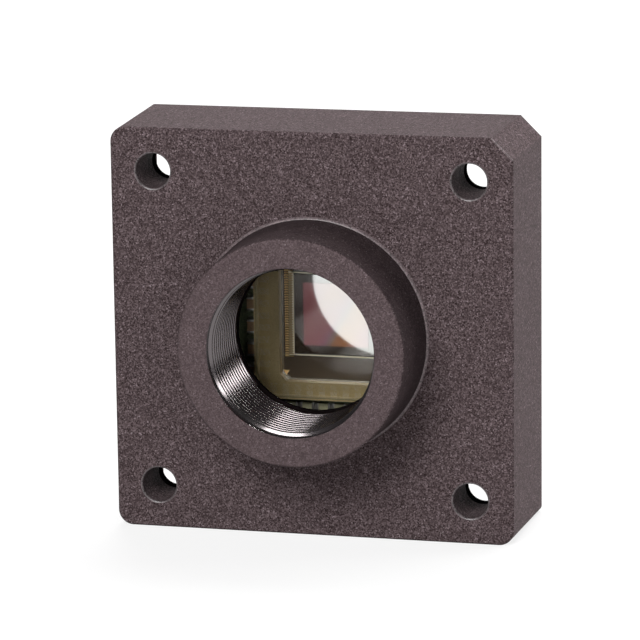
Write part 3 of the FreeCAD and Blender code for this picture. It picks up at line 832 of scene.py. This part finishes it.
def glass_seal(material):
    """The bead of adhesive round the cover glass on the package rim."""
    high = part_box("cover_glass")[1]
    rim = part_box("sensor_package")[0].y
    boxes = []
    for outline in frame_strips(high.x + SEAL_WIDTH, high.z + SEAL_WIDTH, SEAL_WIDTH):
        xs, zs = zip(*outline)
        boxes.append((Vector((min(xs), rim - SEAL_HEIGHT, min(zs))), Vector((max(xs), rim, max(zs)))))
    bevelled_boxes("glass_seal", boxes, SEAL_BEVEL, material)


# ---------------------------------------------------------------- board

def solder_wedge(form, low, high, axis, side, foot, top):
    """A wedge of solder from the board up the end of one chip."""
    across = 2 - axis
    end = (high[axis] if side > 0 else low[axis]) + side * CAP_SKIN
    section = ((0.0, foot), (side * SOLDER_REACH, foot), (0.0, foot + (top - foot) * SOLDER_HEIGHT))
    outlines = []
    for offset in (low[across], high[across]):
        outline = []
        for reach, y in section:
            point = [0.0, y, 0.0]
            point[axis] = end + reach
            point[across] = offset
            outline.append(form.verts.new(point))
        outlines.append(outline)
    add_prism(form, *outlines)


def terminations(tin):
    """Tin end caps and solder on every chip capacitor and resistor."""
    board_low, board_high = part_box("sensor_board")
    skin = Vector((CAP_SKIN, CAP_SKIN, CAP_SKIN))
    caps = []
    form = bmesh.new()
    for node in CHIP_NODES:
        for low, high in islands(node):
            axis = 0 if high.x - low.x > high.z - low.z else 2
            front = low.y < board_low.y
            foot = board_low.y if front else board_high.y
            top = low.y if front else high.y
            for side in (-1, 1):
                cap_low, cap_high = low.copy(), high.copy()
                if side < 0:
                    cap_high[axis] = low[axis] + CAP_LENGTH
                else:
                    cap_low[axis] = high[axis] - CAP_LENGTH
                caps.append((cap_low - skin, cap_high + skin))
                solder_wedge(form, low, high, axis, side, foot, top)
    bmesh.ops.recalc_face_normals(form, faces=form.faces[:])
    bevelled_boxes("chip_end_caps", caps, CAP_BEVEL, tin)
    finish_piece("solder_fillets", form, tin)


# ---------------------------------------------------------------- studio

def direction_to(azimuth, elevation):
    """Unit vector from the object; azimuth 0 is in front of it and grows to its right."""
    return Vector((
        math.sin(azimuth) * math.cos(elevation),
        -math.cos(azimuth) * math.cos(elevation),
        math.sin(elevation),
    ))


def view_matrix():
    """Camera placement from its direction, roll, distance and offsets."""
    back = direction_to(VIEW_AZIMUTH, VIEW_ELEVATION)
    right = (-back).cross(Vector((0, 0, 1))).normalized()
    up = right.cross(-back)
    rolled_right = math.cos(VIEW_ROLL) * right + math.sin(VIEW_ROLL) * up
    rolled_up = -math.sin(VIEW_ROLL) * right + math.cos(VIEW_ROLL) * up
    place = back * VIEW_DISTANCE + rolled_right * VIEW_RIGHT + rolled_up * VIEW_UP
    turn = Matrix((rolled_right, rolled_up, back)).transposed().to_4x4()
    return Matrix.Translation(place) @ turn


def add_camera():
    data = bpy.data.cameras.new("view_camera")
    data.sensor_width = SENSOR_WIDTH
    data.lens = FOCAL_LENGTH
    data.clip_start = 0.01
    data.clip_end = 20.0
    camera = bpy.data.objects.new("view_camera", data)
    bpy.context.scene.collection.objects.link(camera)
    camera.matrix_world = view_matrix()
    bpy.context.scene.camera = camera


def add_softbox(name, azimuth, elevation, distance, size, radiance):
    """A square area light looking at the object."""
    direction = direction_to(math.radians(azimuth), math.radians(elevation))
    data = bpy.data.lights.new(name, "AREA")
    data.shape = "SQUARE"
    data.size = size
    data.energy = radiance * math.pi * size * size
    lamp = bpy.data.objects.new(name, data)
    bpy.context.scene.collection.objects.link(lamp)
    lamp.location = direction * distance
    lamp.rotation_euler = direction.to_track_quat("Z", "Y").to_euler()


def seen_directly(nodes, links):
    """1 for camera, glossy and transmission rays, 0 for the rest."""
    path = nodes.new("ShaderNodeLightPath")
    first = nodes.new("ShaderNodeMath")
    first.operation = "MAXIMUM"
    links.new(path.outputs["Is Camera Ray"], first.inputs[0])
    links.new(path.outputs["Is Glossy Ray"], first.inputs[1])
    second = nodes.new("ShaderNodeMath")
    second.operation = "MAXIMUM"
    links.new(first.outputs[0], second.inputs[0])
    links.new(path.outputs["Is Transmission Ray"], second.inputs[1])
    return second.outputs[0]


def backdrop_strength(nodes, links):
    """White where it is seen, a dim room in front for reflections, and even diffuse light."""
    place = nodes.new("ShaderNodeTexCoord")
    split = nodes.new("ShaderNodeSeparateXYZ")
    links.new(place.outputs["Generated"], split.inputs["Vector"])
    room = nodes.new("ShaderNodeMapRange")
    room.interpolation_type = "SMOOTHSTEP"
    room.inputs["From Min"].default_value = ROOM_EDGE[0]
    room.inputs["From Max"].default_value = ROOM_EDGE[1]
    room.inputs["To Min"].default_value = ROOM_REFLECTION
    room.inputs["To Max"].default_value = 1.0
    links.new(split.outputs["Y"], room.inputs["Value"])
    path = nodes.new("ShaderNodeLightPath")
    seen = nodes.new("ShaderNodeMix")
    links.new(path.outputs["Is Camera Ray"], seen.inputs["Factor"])
    links.new(room.outputs["Result"], seen.inputs["A"])
    seen.inputs["B"].default_value = 1.0
    both = nodes.new("ShaderNodeMix")
    links.new(seen_directly(nodes, links), both.inputs["Factor"])
    both.inputs["A"].default_value = ROOM_LIGHT
    links.new(seen.outputs["Result"], both.inputs["B"])
    return both.outputs["Result"]


def add_world():
    world = bpy.data.worlds.new("studio")
    bpy.context.scene.world = world
    world.use_nodes = True
    nodes = world.node_tree.nodes
    links = world.node_tree.links
    shade = nodes["Background"]
    shade.inputs["Color"].default_value = (1.0, 1.0, 1.0, 1.0)
    links.new(backdrop_strength(nodes, links), shade.inputs["Strength"])


def floor_material():
    """White where it is seen, with the object's shadow, and duller as a source of bounced light."""
    material = bpy.data.materials.new("studio_floor")
    material.use_nodes = True
    nodes = material.node_tree.nodes
    links = material.node_tree.links
    nodes.remove(nodes["Principled BSDF"])
    plain = nodes.new("ShaderNodeBsdfDiffuse")
    plain.inputs["Color"].default_value = (*grey(FLOOR_BOUNCE), 1.0)
    shaded = nodes.new("ShaderNodeBsdfDiffuse")
    shaded.inputs["Color"].default_value = (*grey(FLOOR_SHADED), 1.0)
    glow = nodes.new("ShaderNodeEmission")
    glow.inputs["Strength"].default_value = FLOOR_GLOW
    white = nodes.new("ShaderNodeAddShader")
    links.new(shaded.outputs["BSDF"], white.inputs[0])
    links.new(glow.outputs["Emission"], white.inputs[1])
    mix = nodes.new("ShaderNodeMixShader")
    links.new(seen_directly(nodes, links), mix.inputs["Fac"])
    links.new(plain.outputs["BSDF"], mix.inputs[1])
    links.new(white.outputs["Shader"], mix.inputs[2])
    links.new(mix.outputs["Shader"], nodes["Material Output"].inputs["Surface"])
    return material


def add_floor():
    """A wide floor under the object."""
    low = CAD_BOX[0][2]
    corners = [(x, y, low) for x, y in rectangle(-FLOOR_SIZE, FLOOR_SIZE, -FLOOR_SIZE, FLOOR_SIZE)]
    mesh = bpy.data.meshes.new("studio_floor")
    mesh.from_pydata(corners, [], [(0, 1, 2, 3)])
    mesh.materials.append(floor_material())
    floor = bpy.data.objects.new("studio_floor", mesh)
    bpy.context.scene.collection.objects.link(floor)


def studio():
    """Camera, backdrop, floor and lamps."""
    bpy.context.scene.view_settings.view_transform = "Standard"
    add_camera()
    add_world()
    add_floor()
    for lamp in LAMPS:
        add_softbox(*lamp)


# ---------------------------------------------------------------- the object

def dress_nodes(coat, tin):
    """Gives every CAD node its finish."""
    gold = plain_metal("gold", (0.86, 0.52, 0.20), 0.24, 0.05 * MM)
    steel = plain_metal("nickel_steel", (0.66, 0.65, 0.63), 0.26, 0.05 * MM, (1.0, 0.08, 1.0))
    epoxy = moulding("mould_compound", (0.028, 0.028, 0.030), 0.52)
    chip_tan = moulding("capacitor_body", (0.36, 0.23, 0.13), 0.4)
    surfaces = {
        "front_housing": coat,
        "sensor_board": solder_mask(),
        "board_screws": plain_metal("black_oxide", (0.10, 0.10, 0.105), 0.38, 0.08 * MM),
        "sensor_package": package_ceramic(),
        "sensor_lands": tin,
        "sensor_die": silicon(),
        "bond_wires": plain_metal("bond_wire", (0.46, 0.32, 0.16), 0.5, 0.05 * MM),
        "cover_glass": clear_glass(),
        "sensor_side_capacitors": chip_tan,
        "sensor_side_resistors": moulding("olive_chip_body", (0.36, 0.35, 0.22), 0.35),
        "usb_receptacle_shell": steel,
        "usb_insulator": moulding("black_nylon", (0.022, 0.022, 0.024), 0.45),
        "usb_contacts": gold,
        "io_connector_body": moulding("natural_nylon", (0.62, 0.58, 0.48), 0.5, lift=1.08),
        "io_connector_pins": tin,
        "image_processor": epoxy,
        "usb_controller": epoxy,
        "flash_memory": epoxy,
        "clock_oscillator": plain_metal("oscillator_lid", (0.74, 0.70, 0.60), 0.3, 0.06 * MM),
        "power_inductors": moulding("ferrite", (0.09, 0.09, 0.095), 0.6, 0.1 * MM),
        "voltage_regulators": epoxy,
        "status_led": moulding("led_resin", (0.66, 0.68, 0.56), 0.25, lift=1.08),
        "rear_capacitors": chip_tan,
        "rear_resistors": moulding("resistor_glaze", (0.02, 0.02, 0.022), 0.28),
    }
    for name, node in NODES.items():
        node.data.materials.clear()
        node.data.materials.append(surfaces[name])


def build():
    """Finishes on the nodes, then the detail pieces over them."""
    coat = powder_coat()
    thread = thread_coat()
    shade_black = hole_lining()
    tin = plain_metal("tin", (0.72, 0.71, 0.68), 0.32, 0.07 * MM)
    dress_nodes(coat, tin)
    thread_ridges(thread)
    bore_sleeve(thread)
    thread_end_lip(shade_black)
    lip_bead(thread)
    # paler edge coats: painted highlights on the nose root, the chamfered corner and the hole mouths
    broken_edges(coat, pale_edge_highlight("edge_highlight_coat", (0.120, 0.092, 0.096), 0.40),
                 pale_edge_highlight("hole_edge_coat", (0.085, 0.070, 0.072), 0.30), shade_black)
    die_artwork(moulding("die_edge_oxide", (0.80, 0.70, 0.55), 0.35),
                moulding("die_band_oxide", (0.34, 0.27, 0.17), 0.4),
                moulding("die_rim_oxide", (0.05, 0.04, 0.03), 0.4))
    ledge_artwork(bond_gold(), cavity_metal())
    glass_seal(moulding("seal_adhesive", (0.16, 0.145, 0.07), 0.35))
    terminations(tin)


build()
studio()
